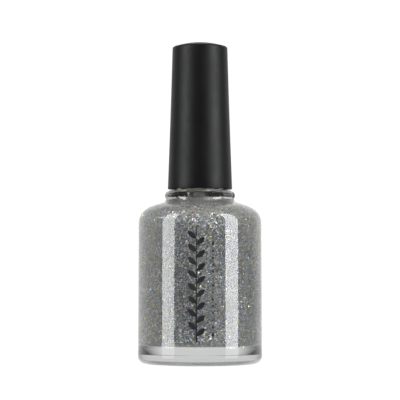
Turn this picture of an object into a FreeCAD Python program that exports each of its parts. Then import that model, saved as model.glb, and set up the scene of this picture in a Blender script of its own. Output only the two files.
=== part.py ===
# Nail polish bottle: glass bottle with a screw neck, lacquer filling, mixing balls,
# printed decoration, and a screw cap assembly that carries the brush.
# Millimetres, +Z up, origin at the centre of the flat the bottle stands on.
# The print is on the front, which faces -Y.
import FreeCAD, Part
import math
import os
import Sketcher

Vector = FreeCAD.Vector
doc = FreeCAD.newDocument("nail_polish_bottle")

# ---------------------------------------------------------------- driving sizes
SIZES = [  # alias, value, meaning
    # glass bottle, outside
    ("body_r_low", 15.05, "outer radius just above the heel"),
    ("body_r_top", 14.90, "outer radius at the top of the straight wall"),
    ("heel_r", 1.90, "heel radius"),
    ("base_flat_r", 13.15, "outer radius of the bearing ring"),
    ("pushup_r", 9.80, "outer radius of the domed push-up"),
    ("pushup_rise", 0.90, "height of the push-up at the centre"),
    ("wall_top_z", 34.00, "top of the straight wall"),
    ("shoulder_r", 13.20, "radius where the shoulder corner ends"),
    ("shoulder_z", 37.30, "height where the shoulder corner ends"),
    ("shoulder_arc", 4.05, "radius of the shoulder corner"),
    ("slope_r", 11.10, "radius where the shoulder becomes a cone"),
    ("slope_z", 38.33, "height where the shoulder becomes a cone"),
    ("slope_arc", 7.16, "radius of the upper shoulder curve"),
    ("root_r", 9.15, "outer radius of the fillet under the bead"),
    ("root_z", 38.95, "height of the foot of that fillet"),
    ("root_arc", 0.98, "radius of that fillet"),
    ("bead_r", 8.48, "largest radius of the glass bead below the cap"),
    ("bead_low_r", 8.28, "radius at the foot of the bead, whose face leans out upwards"),
    ("bead_low_z", 39.75, "bottom of the bead's straight face"),
    ("bead_high_z", 40.60, "top of the bead's straight face"),
    ("bead_arc", 1.28, "rounding of the bead's upper edge"),
    ("bead_top_r", 7.45, "inner end of the bead's rounding"),
    ("bead_top_z", 41.82, "top of the bead"),
    # neck finish
    ("neck_r", 5.65, "radius of the neck below the thread"),
    ("neck_foot_r", 6.25, "outer radius of the neck's foot fillet"),
    ("neck_foot_z", 41.90, "height of the neck's foot"),
    ("neck_foot_arc", 0.60, "radius of the neck's foot fillet"),
    ("neck_top_z", 53.30, "sealing land at the top of the neck"),
    ("neck_edge", 0.45, "rounding of the outer edge of the land"),
    ("bore_r", 3.80, "radius of the neck bore"),
    ("bore_edge", 0.35, "rounding of the inner edge of the land"),
    ("pitch", 2.117, "thread pitch, twelve turns to the inch"),
    ("neck_thread_z", 46.75, "height of the neck thread's centre at its start"),
    ("neck_thread_turns", 1.95, "turns of the neck thread with both run-outs"),
    ("neck_thread_h", 0.65, "height of the neck thread"),
    ("neck_thread_foot", 1.06, "width of the neck thread at its foot"),
    ("neck_thread_crest", 0.46, "width of the neck thread at its crest"),
    ("runout_deg", 55.0, "angle over which the neck thread fades in and out"),
    ("runout_sink", 0.75, "how far the neck thread sinks into the glass at its ends"),
    # glass bottle, inside
    ("floor_z", 4.60, "height of the inside floor at the centre"),
    ("floor_edge_z", 4.45, "height of the inside floor at the corner"),
    ("floor_edge_r", 11.40, "radius where the inside corner starts"),
    ("corner_top_z", 6.30, "height where the inside corner ends"),
    ("corner_arc", 1.86, "radius of the inside corner"),
    ("inner_r", 13.20, "inside radius at the bottom"),
    ("inner_r_top", 13.08, "inside radius at the top of the wall"),
    ("inner_wall_z", 33.20, "top of the inside wall"),
    ("inner_shoulder_r", 11.20, "radius where the inside shoulder corner ends"),
    ("inner_shoulder_z", 36.10, "height where the inside shoulder corner ends"),
    ("inner_shoulder_arc", 2.90, "radius of the inside shoulder corner"),
    ("throat_r", 5.30, "radius where the throat rounding starts"),
    ("throat_z", 37.95, "height where the throat rounding starts"),
    ("throat_top_z", 39.60, "height where the throat meets the bore"),
    ("throat_arc", 1.75, "radius of the throat rounding"),
    # lacquer
    ("lacquer_gap", 0.02, "gap between lacquer and glass"),
    ("fill_z", 40.30, "level of the lacquer in the neck bore"),
    ("brush_room_r", 2.00, "radius of the space the brush stands in"),
    ("brush_room_z", 6.60, "bottom of the space the brush stands in"),
    ("brush_room_edge", 0.60, "rounding at the bottom of that space"),
    ("ball_r", 2.00, "radius of a mixing ball"),
    ("ball_room", 0.03, "gap round a mixing ball"),
    ("ball_a_x", 5.60, "first ball, x"),
    ("ball_a_y", -3.10, "first ball, y"),
    ("ball_b_x", -4.90, "second ball, x"),
    ("ball_b_y", 4.40, "second ball, y"),
    ("ball_z", 6.58, "height of the balls' centres"),
    # printed decoration
    ("ink_gap", 0.012, "gap between ink and glass"),
    ("ink_t", 0.045, "ink thickness"),
    ("ink_reach", 20.0, "how far the motif runs forward from the axis"),
    ("sprig_x", -0.85, "centre line of the printed sprig"),
    ("sprig_z", 5.70, "bottom of the printed sprig"),
    ("sprig_h", 27.40, "height of the printed sprig"),
    ("sprig_w", 0.36, "width of the sprig's stalk at the bottom"),
    ("leaf_foot", 1.50, "height of the lowest right leaf's foot above the sprig's bottom"),
    ("leaf_stagger", 1.45, "how much higher the left leaf of a pair starts"),
    ("leaf_step", 3.05, "spacing of the leaves"),
    ("leaf_reach", 2.02, "how far a leaf reaches sideways"),
    ("leaf_rise", 1.80, "how far a leaf rises"),
    ("leaf_arc", 1.80, "radius of a leaf's edges"),
    ("leaf_count", 8.0, "pairs of leaves"),
    ("dots_x", 3.05, "centre line of the row of dots"),
    ("dots_z", 9.30, "height of the lowest dot"),
    ("dots_r", 0.27, "radius of a dot"),
    ("dots_step", 1.62, "spacing of the dots"),
    ("dots_count", 13.0, "number of dots"),
    ("diamond_below", 1.15, "lower diamond below the lowest dot, in dot spacings"),
    ("diamond_above", 0.15, "upper diamond above the highest dot, in dot spacings"),
    ("diamond_half_w", 0.36, "half the width of a diamond"),
    ("diamond_half_h", 0.75, "half the height of a diamond"),
    # outer cap
    ("cap_z", 42.20, "bottom edge of the outer cap"),
    ("cap_r_low", 7.82, "outer radius at the bottom edge"),
    ("cap_r_high", 6.70, "outer radius just below the top edge"),
    ("cap_mid_r", 7.21, "outer radius halfway up the side, where the flare eases"),
    ("cap_mid_z", 59.30, "height of that point"),
    ("cap_side_top_z", 76.40, "top of the side"),
    ("cap_edge_arc", 0.62, "rounding of the top edge"),
    ("cap_top_edge_r", 6.12, "inner end of the top edge rounding"),
    ("cap_top_edge_z", 76.99, "height there"),
    ("cap_top_z", 77.95, "height of the cap at its centre"),
    ("cap_crown_mid_z", 77.71, "height of the crown halfway out"),
    ("cap_wall", 0.62, "wall of the outer cap round the inner cap"),
    ("cap_wall_extra", 0.06, "added to that wall at the bottom edge"),
    ("cap_lip", 0.12, "chamfer of the bottom edge"),
    ("cap_ledge_z", 57.00, "ledge that the inner cap stops against"),
    ("cap_ledge", 0.70, "width of that ledge"),
    ("cap_roof_z", 75.40, "underside of the cap's top"),
    ("cap_roof_edge", 0.50, "chamfer between the hollow's side and its roof"),
    ("cap_rib_t", 0.80, "thickness of a rib in the hollow top"),
    ("cap_rib_in", 4.30, "radius of the ribs' inner edges at the top"),
    ("cap_rib_lean", 0.70, "how much further out those edges are at the bottom"),
    ("cap_rib_root", 0.30, "how far the ribs run into the wall"),
    ("cap_rib_top", 75.45, "top of the ribs"),
    ("cap_rib_low", 61.80, "bottom of the ribs"),
    ("cap_rib_count", 6.0, "number of ribs"),
    # inner cap
    ("inner_gap", 0.02, "gap between inner and outer cap"),
    ("insert_z", 42.95, "bottom edge of the inner cap"),
    ("insert_foot", 0.10, "width of the chamfer round the inner cap's bottom"),
    ("insert_edge", 0.30, "height of that chamfer and size of the one at the top"),
    ("insert_top_z", 56.97, "top of the inner cap's wall"),
    ("insert_root_r", 6.42, "root radius of the cap thread"),
    ("insert_seat_z", 54.32, "ceiling that presses the liner"),
    ("insert_seat_edge", 0.40, "chamfer between the bore and that ceiling"),
    ("insert_mouth", 0.30, "chamfer of the inner cap's mouth"),
    ("cap_thread_z", 47.70, "height of the cap thread's centre at its start"),
    ("cap_thread_turns", 1.75, "turns of the cap thread"),
    ("cap_thread_h", 0.57, "height of the cap thread"),
    ("cap_thread_foot", 0.86, "width of the cap thread at its foot"),
    ("cap_thread_crest", 0.40, "width of the cap thread at its crest"),
    ("recess_r", 4.05, "radius of the recess for the brush's flange"),
    ("recess_z", 55.17, "top of that recess"),
    ("socket_r", 1.95, "radius of the socket for the brush's head"),
    ("socket_mouth", 0.20, "chamfer of the socket's mouth"),
    ("socket_edge", 0.40, "chamfer at the top of the socket"),
    ("socket_z", 59.90, "top of the socket"),
    ("boss_r", 3.10, "radius of the socket's boss"),
    ("boss_taper", 0.15, "how much the boss narrows upwards"),
    ("boss_edge", 0.25, "chamfers at the foot and the top of the boss"),
    ("boss_z", 61.20, "top of the boss"),
    ("web_t", 0.80, "thickness of a web beside the boss"),
    ("web_r", 5.60, "length of a web from the axis"),
    ("web_end", 0.30, "height of a web's outer end"),
    ("web_z", 60.20, "top of the webs"),
    ("web_count", 4.0, "number of webs"),
    ("spline_w", 0.55, "width of a spline groove"),
    ("spline_d", 0.18, "depth of a spline groove"),
    ("spline_over", 0.40, "how far the groove's cutter stands out of the wall"),
    ("spline_flare", 0.15, "how much the cutter widens there on each side"),
    ("spline_count", 24.0, "number of spline grooves"),
    ("spline_low", 44.20, "bottom of the spline grooves"),
    ("spline_stop", 4.00, "distance of the cutter's top below the wall's top"),
    # liner
    ("liner_in_r", 1.80, "inside radius of the liner"),
    ("liner_out_r", 5.50, "outside radius of the liner"),
    ("liner_t", 1.00, "thickness of the liner"),
    ("liner_edge", 0.15, "edge rounding of the liner"),
    # brush
    ("head_r", 1.90, "radius of the brush's head in the socket"),
    ("head_z", 59.60, "top of the brush's head"),
    ("head_edge", 0.40, "chamfer of the head"),
    ("flange_r", 4.00, "radius of the brush's flange"),
    ("flange_low_z", 54.32, "underside of the flange"),
    ("flange_high_z", 55.12, "top of the flange"),
    ("flange_edge", 0.10, "chamfers of the flange"),
    ("stem_r", 1.75, "radius of the stem under the flange"),
    ("stem_taper_z", 49.50, "height where the stem starts to taper"),
    ("stem_r_low", 1.62, "radius of the stem at its lower end"),
    ("stem_z", 21.50, "lower end of the stem"),
    ("stem_edge", 0.18, "edge rounding of the stem's lower end"),
    ("tuft_hole_r", 1.36, "radius of the hole that holds the tuft"),
    ("tuft_hole_z", 26.20, "top of that hole"),
    ("tuft_hole_cone", 0.25, "height of the cone at its top"),
    ("tuft_mouth", 0.10, "widening of the hole at its mouth"),
    ("tuft_mouth_h", 0.20, "height of that widening"),
    ("anchor_t", 0.22, "thickness of the anchor strip"),
    ("anchor_l", 3.00, "length of the anchor strip"),
    ("anchor_z", 23.20, "lower edge of the anchor strip"),
    ("anchor_h", 1.10, "height of the anchor strip"),
    ("anchor_slack", 0.02, "play of the anchor in its slots"),
    # bristles
    ("filament_r", 0.10, "radius of a filament"),
    ("filament_step", 0.23, "spacing of the filaments"),
    ("filament_first", 0.25, "distance of the innermost filament from the anchor's middle"),
    ("tuft_r", 1.33, "radius of the tuft"),
    ("tuft_tip_z", 7.30, "lowest point of the tuft"),
    ("tuft_round", 1.60, "how much shorter the outermost filaments are"),
    ("bend_z", 24.34, "height where the filaments turn over the anchor"),
]
OVERRUN = 1.0  # how far a cutter reaches past an open end
OVERLAP = 0.5  # shorter overrun, and how far the webs run into their neighbours
LEFT, RIGHT = 1, -1  # side of an arc's centre, seen along the outline

sheet = doc.addObject("Spreadsheet::Sheet", "dims")
for row, (alias, value, note) in enumerate(SIZES, start=1):
    sheet.set("A%d" % row, note)
    sheet.set("B%d" % row, repr(value))
    sheet.setAlias("B%d" % row, alias)
doc.recompute()


class Size:
    """A size: its value in mm and the sheet formula that gives it."""

    def __init__(self, value, formula):
        self.value = float(value)
        self.formula = formula

    @property
    def driven(self):
        return "dims" in self.formula

    def _join(self, other, sign, value):
        return Size(value, "(%s %s %s)" % (self.formula, sign, other.formula))

    def __add__(self, other):
        other = as_size(other)
        return self._join(other, "+", self.value + other.value)

    def __sub__(self, other):
        other = as_size(other)
        return self._join(other, "-", self.value - other.value)

    def __mul__(self, other):
        other = as_size(other)
        return self._join(other, "*", self.value * other.value)

    def __truediv__(self, other):
        other = as_size(other)
        return self._join(other, "/", self.value / other.value)

    def __neg__(self):
        return Size(-self.value, "(0 - %s)" % self.formula)


def as_size(x):
    return x if isinstance(x, Size) else Size(x, repr(float(x)))


class Dims:
    """The driving sizes, one attribute for each alias."""


dims = Dims()
for alias, _, _ in SIZES:
    setattr(dims, alias, Size(sheet.get(alias), "dims." + alias))


# ---------------------------------------------------------------- helpers
def drive(item, prop, size, kind=float):
    """Set a property and bind it to the sheet."""
    setattr(item, prop, kind(size.value))
    item.setExpression(prop, size.formula)


def place(item, prop, x, y, z):
    """Set a placement property to a shift and bind its driven parts to the sheet."""
    shift = [as_size(part) for part in (x, y, z)]
    setattr(item, prop, FreeCAD.Placement(Vector(*[s.value for s in shift]), FreeCAD.Rotation()))
    for axis, size in zip("xyz", shift):
        if size.driven:
            item.setExpression("%s.Base.%s" % (prop, axis), size.formula)


def datum(body, role):
    """A plane or axis of the body's origin."""
    return next(o for o in body.Origin.OriginFeatures if o.Role == role)


def new_body(name):
    return doc.addObject("PartDesign::Body", name)


def finish(body, feature):
    body.Tip = feature
    doc.recompute()
    return feature


def new_sketch(body, name, role="XZ_Plane", height=0):
    sketch = body.newObject("Sketcher::SketchObject", name)
    sketch.AttachmentSupport = [(datum(body, role), "")]
    sketch.MapMode = "FlatFace"
    place(sketch, "AttachmentOffset", 0, 0, height)
    return sketch


def arc_centre(start, end, radius, side):
    mid_x, mid_y = (start[0] + end[0]) / 2, (start[1] + end[1]) / 2
    dx, dy = end[0] - start[0], end[1] - start[1]
    chord = math.hypot(dx, dy)
    rise = math.sqrt(max(radius * radius - chord * chord / 4, 0.0))
    return mid_x - side * dy / chord * rise, mid_y + side * dx / chord * rise


def arc_between(start, end, radius, side):
    """The arc from start to end; it always runs anticlockwise, so RIGHT swaps its ends."""
    cx, cy = arc_centre(start, end, radius, side)
    angles = [math.atan2(y - cy, x - cx) for x, y in (start, end)]
    first, last = angles if side > 0 else angles[::-1]
    while last <= first:
        last += 2 * math.pi
    circle = Part.Circle(Vector(cx, cy, 0), Vector(0, 0, 1), radius)
    return Part.ArcOfCircle(circle, first, last)


def draw(sketch, path):
    """A closed, fully measured outline.

    path: (x, y) corners, each with an optional (radius, side) for the arc to the next corner.
    """
    corners = [(as_size(p[0]), as_size(p[1])) for p in path]
    arcs = [p[2] if len(p) > 2 else None for p in path]
    count = len(path)
    edges = []  # geometry index, number of its start point, number of its end point
    for i in range(count):
        start, end = [(x.value, y.value) for x, y in (corners[i], corners[(i + 1) % count])]
        if arcs[i] is None:
            line = Part.LineSegment(Vector(*start, 0), Vector(*end, 0))
            edges.append((sketch.addGeometry(line, False), 1, 2))
        else:
            radius, side = arcs[i]
            arc = arc_between(start, end, radius.value, side)
            ends = (1, 2) if side > 0 else (2, 1)
            edges.append((sketch.addGeometry(arc, False),) + ends)
    for i in range(count):
        edge, _, last = edges[i]
        following, first, _ = edges[(i + 1) % count]
        sketch.addConstraint(Sketcher.Constraint("Coincident", edge, last, following, first))
    tied = []  # constraint index, formula
    for i in range(count):
        edge, first, _ = edges[i]
        # a plain zero puts the corner on an axis: -2 is the vertical one, -1 the horizontal
        for kind, axis, size in zip(("DistanceX", "DistanceY"), (-2, -1), corners[i]):
            if size.value == 0 and not size.driven:
                sketch.addConstraint(Sketcher.Constraint("PointOnObject", edge, first, axis))
                continue
            index = sketch.addConstraint(
                Sketcher.Constraint(kind, -1, 1, edge, first, size.value))
            if size.driven:
                tied.append((index, size.formula))
        if arcs[i] is not None:
            radius = arcs[i][0]
            index = sketch.addConstraint(Sketcher.Constraint("Radius", edge, radius.value))
            tied.append((index, radius.formula))
    for index, formula in tied:
        sketch.setExpression("Constraints[%d]" % index, formula)


def draw_circle(sketch, x, y, radius):
    circle = Part.Circle(Vector(x.value, y.value, 0), Vector(0, 0, 1), radius.value)
    edge = sketch.addGeometry(circle, False)
    for kind, refs, size in (
        ("DistanceX", (-1, 1, edge, 3), x),
        ("DistanceY", (-1, 1, edge, 3), y),
        ("Radius", (edge,), radius),
    ):
        index = sketch.addConstraint(Sketcher.Constraint(kind, *refs, size.value))
        sketch.setExpression("Constraints[%d]" % index, size.formula)


def turned(body, name, path, cut=False):
    """A profile of (radius, z) corners turned round the Z axis, added or taken away."""
    sketch = new_sketch(body, name + "_outline")
    draw(sketch, path)
    feature = body.newObject("PartDesign::Groove" if cut else "PartDesign::Revolution", name)
    feature.Profile = sketch
    feature.ReferenceAxis = (sketch, ["V_Axis"])
    feature.Angle = 360.0
    return finish(body, feature)


def prism(body, name, sketch, length, cut=False, reverse=False, midplane=False):
    feature = body.newObject("PartDesign::Pocket" if cut else "PartDesign::Pad", name)
    feature.Profile = sketch
    drive(feature, "Length", length)
    feature.Reversed = reverse
    feature.Midplane = midplane
    return finish(body, feature)


def ring_of(body, name, feature, count):
    """The feature repeated round the Z axis."""
    pattern = body.newObject("PartDesign::PolarPattern", name)
    pattern.Originals = [feature]
    pattern.Axis = (datum(body, "Z_Axis"), [""])
    pattern.Angle = 360.0
    drive(pattern, "Occurrences", count, int)
    return finish(body, pattern)


def column_of(body, name, feature, step, count):
    """The feature repeated upwards."""
    pattern = body.newObject("PartDesign::LinearPattern", name)
    pattern.Originals = [feature]
    pattern.Direction = (datum(body, "Z_Axis"), [""])
    drive(pattern, "Length", step * (count - 1))
    drive(pattern, "Occurrences", count, int)
    return finish(body, pattern)


def helix_path(name, radius, start_z, turns, sink=0.0, fade_deg=0.0):
    """A thread's path: a helix from the XZ plane that sinks inwards at both ends over fade_deg."""
    pitch = dims.pitch.value
    total = 2 * math.pi * turns
    fade = math.radians(fade_deg)
    steps = max(int(turns * 36), 24)
    points = []
    for i in range(steps + 1):
        angle = total * i / steps
        share = 1.0 if fade <= 0 else min(1.0, min(angle, total - angle) / fade)
        share = share * share * (3 - 2 * share)
        r = radius - (1 - share) * sink
        z = start_z + pitch * angle / (2 * math.pi)
        points.append(Vector(r * math.cos(angle), r * math.sin(angle), z))
    curve = Part.BSplineCurve()
    curve.interpolate(points)
    path = doc.addObject("Part::Feature", name)
    path.Shape = curve.toShape()
    return path


def threaded(body, name, path, profile):
    sketch = new_sketch(body, name + "_profile")
    draw(sketch, profile)
    feature = body.newObject("PartDesign::AdditivePipe", name)
    feature.Profile = sketch
    feature.Spine = (path, ["Edge1"])
    feature.Mode = "Frenet"
    return finish(body, feature)


# ---------------------------------------------------------------- glass bottle
def make_glass():
    body = new_body("bottle_glass")
    rise = dims.pushup_rise
    pushup_arc = dims.pushup_r * dims.pushup_r / (rise * 2) + rise / 2
    turned(body, "glass_outside", [
        (0, rise, (pushup_arc, RIGHT)),
        (dims.pushup_r, 0),
        (dims.base_flat_r, 0, (dims.heel_r, LEFT)),
        (dims.body_r_low, dims.heel_r),
        (dims.body_r_top, dims.wall_top_z, (dims.shoulder_arc, LEFT)),
        (dims.shoulder_r, dims.shoulder_z, (dims.slope_arc, LEFT)),
        (dims.slope_r, dims.slope_z),
        (dims.root_r, dims.root_z, (dims.root_arc, RIGHT)),
        (dims.bead_low_r, dims.bead_low_z),
        (dims.bead_r, dims.bead_high_z, (dims.bead_arc, LEFT)),
        (dims.bead_top_r, dims.bead_top_z),
        (dims.neck_foot_r, dims.neck_foot_z, (dims.neck_foot_arc, RIGHT)),
        (dims.neck_r, dims.neck_foot_z + dims.neck_foot_arc),
        (dims.neck_r, dims.neck_top_z - dims.neck_edge, (dims.neck_edge, LEFT)),
        (dims.neck_r - dims.neck_edge, dims.neck_top_z),
        (0, dims.neck_top_z),
    ])
    mouth_r = dims.bore_r + dims.bore_edge
    turned(body, "glass_inside", [
        (0, dims.floor_z),
        (dims.floor_edge_r, dims.floor_edge_z, (dims.corner_arc, LEFT)),
        (dims.inner_r, dims.corner_top_z),
        (dims.inner_r_top, dims.inner_wall_z, (dims.inner_shoulder_arc, LEFT)),
        (dims.inner_shoulder_r, dims.inner_shoulder_z),
        (dims.throat_r, dims.throat_z, (dims.throat_arc, RIGHT)),
        (dims.bore_r, dims.throat_top_z),
        (dims.bore_r, dims.neck_top_z - dims.bore_edge, (dims.bore_edge, RIGHT)),
        (mouth_r, dims.neck_top_z),
        (mouth_r, dims.neck_top_z + OVERRUN),
        (0, dims.neck_top_z + OVERRUN),
    ], cut=True)
    path = helix_path(
        "neck_thread_path", dims.neck_r.value, dims.neck_thread_z.value,
        dims.neck_thread_turns.value, dims.runout_sink.value, dims.runout_deg.value)
    # the path starts sunk, so the profile does too
    foot_r, mid_z = dims.neck_r - dims.runout_sink, dims.neck_thread_z
    crest_r = foot_r + dims.neck_thread_h
    foot, crest = dims.neck_thread_foot / 2, dims.neck_thread_crest / 2
    root, flare = 0.22, 0.04  # depth of the profile below its foot, and its widening there
    ease_r, ease_out, ease_in = 0.12, 0.08, 0.10  # bevel of the crest: radial, outer, inner end
    threaded(body, "neck_thread", path, [
        (foot_r - root, mid_z - foot - flare),
        (foot_r, mid_z - foot),
        (crest_r - ease_r, mid_z - crest - ease_out),
        (crest_r, mid_z - crest + ease_in),
        (crest_r, mid_z + crest - ease_in),
        (crest_r - ease_r, mid_z + crest + ease_out),
        (foot_r, mid_z + foot),
        (foot_r - root, mid_z + foot + flare),
    ])
    return body


# ---------------------------------------------------------------- lacquer and mixing balls
BALLS = {"a": (dims.ball_a_x, dims.ball_a_y), "b": (dims.ball_b_x, dims.ball_b_y)}


def make_lacquer():
    body = new_body("lacquer")
    gap = dims.lacquer_gap
    turned(body, "lacquer_body", [
        (0, dims.floor_z + gap),
        (dims.floor_edge_r, dims.floor_edge_z + gap, (dims.corner_arc, LEFT)),
        (dims.inner_r - gap, dims.corner_top_z),
        (dims.inner_r_top - gap, dims.inner_wall_z, (dims.inner_shoulder_arc, LEFT)),
        (dims.inner_shoulder_r - gap, dims.inner_shoulder_z - gap),
        (dims.throat_r - gap, dims.throat_z - gap, (dims.throat_arc, RIGHT)),
        (dims.bore_r - gap, dims.throat_top_z),
        (dims.bore_r - gap, dims.fill_z),
        (0, dims.fill_z),
    ])
    room_r, room_z, edge = dims.brush_room_r, dims.brush_room_z, dims.brush_room_edge
    turned(body, "brush_room", [
        (0, room_z),
        (room_r - edge, room_z, (edge, LEFT)),
        (room_r, room_z + edge),
        (room_r, dims.fill_z + OVERRUN),
        (0, dims.fill_z + OVERRUN),
    ], cut=True)
    for which, (x, y) in BALLS.items():
        room = body.newObject("PartDesign::SubtractiveSphere", "ball_room_" + which)
        drive(room, "Radius", dims.ball_r + dims.ball_room)
        room.AttachmentSupport = [(datum(body, "XY_Plane"), "")]
        room.MapMode = "FlatFace"
        place(room, "AttachmentOffset", x, y, dims.ball_z)
        finish(body, room)
    return body


def make_balls():
    balls = []
    for which, (x, y) in BALLS.items():
        ball = doc.addObject("Part::Sphere", "ball_" + which)
        drive(ball, "Radius", dims.ball_r)
        place(ball, "Placement", x, y, dims.ball_z)
        balls.append(ball)
    pair = doc.addObject("Part::Compound", "mixing_balls")
    pair.Links = balls
    doc.recompute()
    return pair


# ---------------------------------------------------------------- printed decoration
def make_ink_skin():
    """A thin sleeve round the whole straight wall."""
    body = new_body("ink_skin")
    low_r, top_r = dims.body_r_low + dims.ink_gap, dims.body_r_top + dims.ink_gap
    turned(body, "ink_skin_turned", [
        (low_r, dims.heel_r),
        (low_r + dims.ink_t, dims.heel_r),
        (top_r + dims.ink_t, dims.wall_top_z),
        (top_r, dims.wall_top_z),
    ])
    return body


def make_ink_motif():
    """The motif as prisms; the XZ plane's normal is -Y, so they run from it to the front."""
    body = new_body("ink_motif")
    body.AllowCompound = True
    mid_x, low_z, width = dims.sprig_x, dims.sprig_z, dims.sprig_w

    # the stalk is half as wide at the top
    stalk = new_sketch(body, "stalk_outline")
    draw(stalk, [
        (mid_x - width / 2, low_z),
        (mid_x + width / 2, low_z),
        (mid_x + width / 4, low_z + dims.sprig_h),
        (mid_x - width / 4, low_z + dims.sprig_h),
    ])
    prism(body, "stalk", stalk, dims.ink_reach)

    # each leaf starts a fifth of the way from the stalk's centre line to its edge
    leaves = new_sketch(body, "leaf_pair_outline")
    for hand, lift in ((1, 0.0), (-1, dims.leaf_stagger)):
        foot_z = low_z + dims.leaf_foot + lift
        draw(leaves, [
            (mid_x + width / 2 * hand * 0.2, foot_z, (dims.leaf_arc, hand)),
            (mid_x + dims.leaf_reach * hand, foot_z + dims.leaf_rise, (dims.leaf_arc, hand)),
        ])
    leaf_pair = prism(body, "leaf_pair", leaves, dims.ink_reach)
    column_of(body, "leaf_pairs", leaf_pair, dims.leaf_step, dims.leaf_count)

    dot_outline = new_sketch(body, "dot_outline")
    draw_circle(dot_outline, dims.dots_x, dims.dots_z, dims.dots_r)
    dot = prism(body, "dot", dot_outline, dims.ink_reach)
    column_of(body, "dots", dot, dims.dots_step, dims.dots_count)

    diamonds = new_sketch(body, "diamond_outline")
    for steps in (-dims.diamond_below, dims.dots_count - 1 + dims.diamond_above):
        z = dims.dots_z + dims.dots_step * steps
        draw(diamonds, [
            (dims.dots_x, z - dims.diamond_half_h),
            (dims.dots_x + dims.diamond_half_w, z),
            (dims.dots_x, z + dims.diamond_half_h),
            (dims.dots_x - dims.diamond_half_w, z),
        ])
    prism(body, "diamonds", diamonds, dims.ink_reach)
    return body


def make_print():
    skin = make_ink_skin()
    motif = make_ink_motif()
    ink = doc.addObject("Part::MultiCommon", "front_print")
    ink.Shapes = [skin, motif]
    doc.recompute()
    return ink


# ---------------------------------------------------------------- outer cap
def cap_inside_r(z):
    """Inside radius of the outer cap at height z: a straight cone from the cap's end radii."""
    slope = (dims.cap_r_low - dims.cap_r_high) / (dims.cap_side_top_z - dims.cap_z)
    return dims.cap_r_low - dims.cap_wall - dims.cap_wall_extra - slope * (z - dims.cap_z)


def cap_hollow_r(z):
    """Inside radius above the ledge."""
    return cap_inside_r(z) - dims.cap_ledge


def make_outer_cap():
    body = new_body("outer_cap")
    turned(body, "cap_outside", [
        (0, dims.cap_z),
        (dims.cap_r_low - dims.cap_lip, dims.cap_z),
        (dims.cap_r_low, dims.cap_z + dims.cap_lip),
        (dims.cap_mid_r, dims.cap_mid_z),
        (dims.cap_r_high, dims.cap_side_top_z, (dims.cap_edge_arc, LEFT)),
        (dims.cap_top_edge_r, dims.cap_top_edge_z),
        (dims.cap_top_edge_r / 2, dims.cap_crown_mid_z),
        (0, dims.cap_top_z),
    ])
    below, roof_z, edge = dims.cap_z - OVERRUN, dims.cap_roof_z, dims.cap_roof_edge
    turned(body, "cap_hollow", [
        (0, below),
        (cap_inside_r(below), below),
        (cap_inside_r(dims.cap_ledge_z), dims.cap_ledge_z),
        (cap_hollow_r(dims.cap_ledge_z), dims.cap_ledge_z),
        (cap_hollow_r(roof_z), roof_z - edge),
        (cap_hollow_r(roof_z) - edge, roof_z),
        (0, roof_z),
    ], cut=True)
    low_z, top_z = dims.cap_rib_low, dims.cap_rib_top
    outline = new_sketch(body, "cap_rib_outline")
    draw(outline, [
        (dims.cap_rib_in + dims.cap_rib_lean, low_z),
        (cap_hollow_r(low_z) + dims.cap_rib_root, low_z),
        (cap_hollow_r(top_z) + dims.cap_rib_root, top_z),
        (dims.cap_rib_in, top_z),
    ])
    rib = prism(body, "cap_rib", outline, dims.cap_rib_t, midplane=True)
    ring_of(body, "cap_ribs", rib, dims.cap_rib_count)
    return body


# ---------------------------------------------------------------- inner cap
def insert_r(z):
    """Outer radius of the inner cap at height z."""
    return cap_inside_r(z) - dims.inner_gap


def turn_inner_cap(body):
    low_z, top_z, edge = dims.insert_z, dims.insert_top_z, dims.insert_edge
    boss_r, boss_z, boss_edge = dims.boss_r, dims.boss_z, dims.boss_edge
    turned(body, "insert_outside", [
        (0, low_z),
        (insert_r(low_z) - dims.insert_foot, low_z),
        (insert_r(low_z), low_z + edge),
        (insert_r(top_z), top_z - edge),
        (insert_r(top_z) - edge, top_z),
        (boss_r + boss_edge, top_z),
        (boss_r, top_z + boss_edge),
        (boss_r - dims.boss_taper, boss_z - boss_edge),
        (boss_r - dims.boss_taper - boss_edge, boss_z),
        (0, boss_z),
    ])
    root_r, mouth_r = dims.insert_root_r, dims.insert_root_r + dims.insert_mouth
    seat_z, seat_edge = dims.insert_seat_z, dims.insert_seat_edge
    turned(body, "insert_bore", [
        (0, low_z - OVERRUN),
        (mouth_r, low_z - OVERRUN),
        (mouth_r, low_z),
        (root_r, low_z + dims.insert_mouth * 2),
        (root_r, seat_z - seat_edge),
        (root_r - seat_edge, seat_z),
        (0, seat_z),
    ], cut=True)
    turned(body, "flange_recess", [
        (0, seat_z - OVERLAP),
        (dims.recess_r, seat_z - OVERLAP),
        (dims.recess_r, dims.recess_z),
        (dims.socket_r + dims.socket_mouth, dims.recess_z),
        (dims.socket_r, dims.recess_z + dims.socket_mouth),
        (dims.socket_r, dims.socket_z - dims.socket_edge),
        (dims.socket_r - dims.socket_edge, dims.socket_z),
        (0, dims.socket_z),
    ], cut=True)


def add_webs(body):
    outline = new_sketch(body, "web_outline")
    draw(outline, [
        (dims.socket_r + OVERLAP, dims.insert_top_z - OVERLAP),
        (dims.web_r, dims.insert_top_z - OVERLAP),
        (dims.web_r, dims.insert_top_z + dims.web_end),
        (dims.boss_r - OVERLAP, dims.web_z),
        (dims.socket_r + OVERLAP, dims.web_z),
    ])
    web = prism(body, "web", outline, dims.web_t, midplane=True)
    ring_of(body, "webs", web, dims.web_count)


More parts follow.
